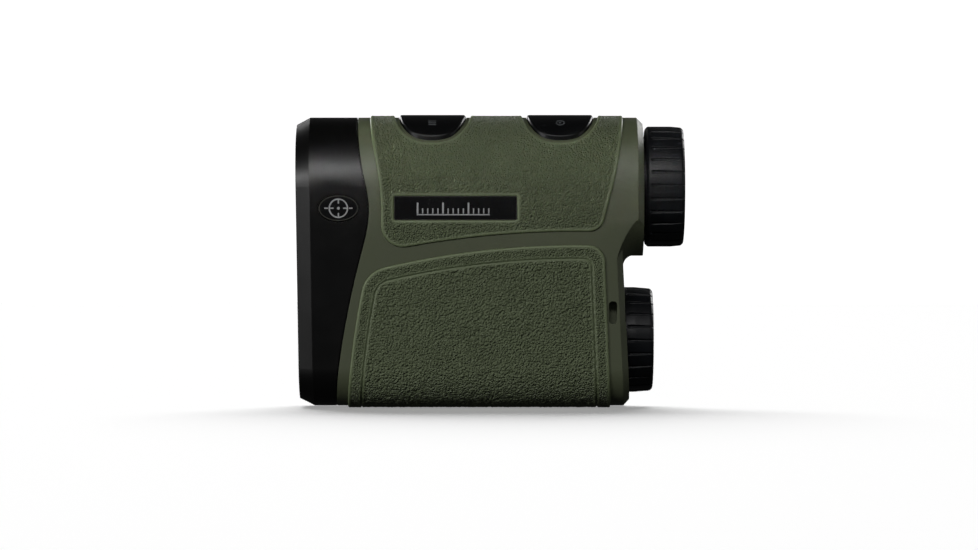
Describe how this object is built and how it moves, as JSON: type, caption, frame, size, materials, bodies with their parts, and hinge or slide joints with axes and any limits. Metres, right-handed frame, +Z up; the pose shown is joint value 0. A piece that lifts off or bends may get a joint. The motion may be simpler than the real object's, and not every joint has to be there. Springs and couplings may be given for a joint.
{
  "type": "laser rangefinder",
  "caption": "Compact handheld monocular laser rangefinder with a dioptre eyepiece, two top buttons, rubber grip panels and a screw cap over its battery.",
  "frame": {"origin": "centre of the base that the body stands on", "axes": "+X towards the eyepiece, -X towards the objective, +Z up towards the buttons, -Y the side with the lanyard slot"},
  "size_m": [0.0964, 0.0354, 0.0729],
  "materials": {
    "housing_plastic": "satin",
    "bezel_plastic": "satin",
    "grip_rubber": "pebbled",
    "black_trim": "gloss",
    "button_rubber": "satin",
    "silicone": "moulded",
    "board_laminate": "solder mask",
    "chip_resin": "moulded",
    "anodised_metal": "black anodised",
    "nylon": "moulded",
    "ring_rubber": "satin",
    "zinc_steel": "zinc plated",
    "optical_glass": "polished",
    "coated_glass": "coated",
    "spring_steel": "plated",
    "cell_can": "plated",
    "cell_wrap": "printed film",
    "cast_frame": "glass filled nylon"
  },
  "bodies": {
    "housing": {"main_housing": "housing_plastic", "front_bezel": "bezel_plastic", "upper_grip": "grip_rubber", "lower_grip": "grip_rubber", "left_nameplate": "black_trim", "right_nameplate": "black_trim", "left_badge": "black_trim", "right_badge": "black_trim", "button_membrane": "silicone", "switch_board": "board_laminate", "tactile_switches": "chip_resin", "eyepiece_tube": "anodised_metal", "eyepiece_nut": "anodised_metal", "stop_ring": "zinc_steel", "battery_tube": "nylon", "contact_disc": "zinc_steel", "contact_spring": "spring_steel", "optical_frame": "cast_frame", "bezel_screws": "zinc_steel", "foot_screws": "zinc_steel", "objective_cell": "anodised_metal", "objective_lens": "coated_glass", "objective_ring": "anodised_metal", "laser_barrel": "nylon", "laser_lens": "coated_glass", "laser_lens_ring": "anodised_metal", "laser_diode": "zinc_steel", "laser_board": "board_laminate", "pentaprism": "optical_glass", "roof_prism": "optical_glass", "prism_clamp": "spring_steel", "display_panel": "optical_glass", "display_holder": "nylon", "receiver_board": "board_laminate", "receiver_diode": "zinc_steel", "main_board": "board_laminate", "board_chips": "chip_resin", "board_screws": "zinc_steel"},
    "menu_button": {"menu_button": "button_rubber"},
    "measure_button": {"measure_button": "button_rubber"},
    "dioptre_ring": {"dioptre_ring": "ring_rubber", "dioptre_sleeve": "nylon", "eyecup": "ring_rubber"},
    "eyepiece_cell": {"eyepiece_cell": "nylon", "eyepiece_seal": "ring_rubber", "cam_pin": "zinc_steel", "field_lens": "optical_glass", "eye_lens": "coated_glass", "lens_spacer": "nylon", "eye_lens_ring": "nylon"},
    "battery": {"battery_can": "cell_can", "battery_sleeve": "cell_wrap", "battery_button": "cell_can"},
    "battery_cap": {"battery_cap": "nylon", "cap_grip": "ring_rubber", "cap_seal": "silicone", "cap_contact": "spring_steel", "cap_insulator": "nylon"}
  },
  "joints": [
    {"name": "menu_button_press", "type": "slide", "parent": "housing", "child": "menu_button", "axis": [0, 0, -1], "range_m": [0, 0.0006], "stiffness_N_per_m": 900, "springref_m": -0.0009},
    {"name": "measure_button_press", "type": "slide", "parent": "housing", "child": "measure_button", "axis": [0, 0, -1], "range_m": [0, 0.0006], "stiffness_N_per_m": 900, "springref_m": -0.0009},
    {"name": "dioptre_turn", "type": "hinge", "parent": "housing", "child": "dioptre_ring", "pos_m": [0.0434, 0, 0.055], "axis": [1, 0, 0], "range_deg": [-130, 130]},
    {"name": "eyepiece_focus", "type": "slide", "parent": "housing", "child": "eyepiece_cell", "axis": [1, 0, 0], "range_m": [-0.00108, 0.00108]},
    {"name": "battery_travel", "type": "slide", "parent": "housing", "child": "battery", "axis": [1, 0, 0], "range_m": [0, 0.0036], "deforming": ["contact_spring"]},
    {"name": "battery_cap_turn", "type": "hinge", "parent": "battery", "child": "battery_cap", "pos_m": [0.036, 0, 0.0168], "axis": [1, 0, 0], "range_deg": [0, 1080]}
  ],
  "couplings": [
    {"joint": "dioptre_turn", "follows": "eyepiece_focus", "rad_per_m": 2094.4},
    {"joint": "battery_cap_turn", "follows": "battery_travel", "rad_per_m": 5236}
  ]
}
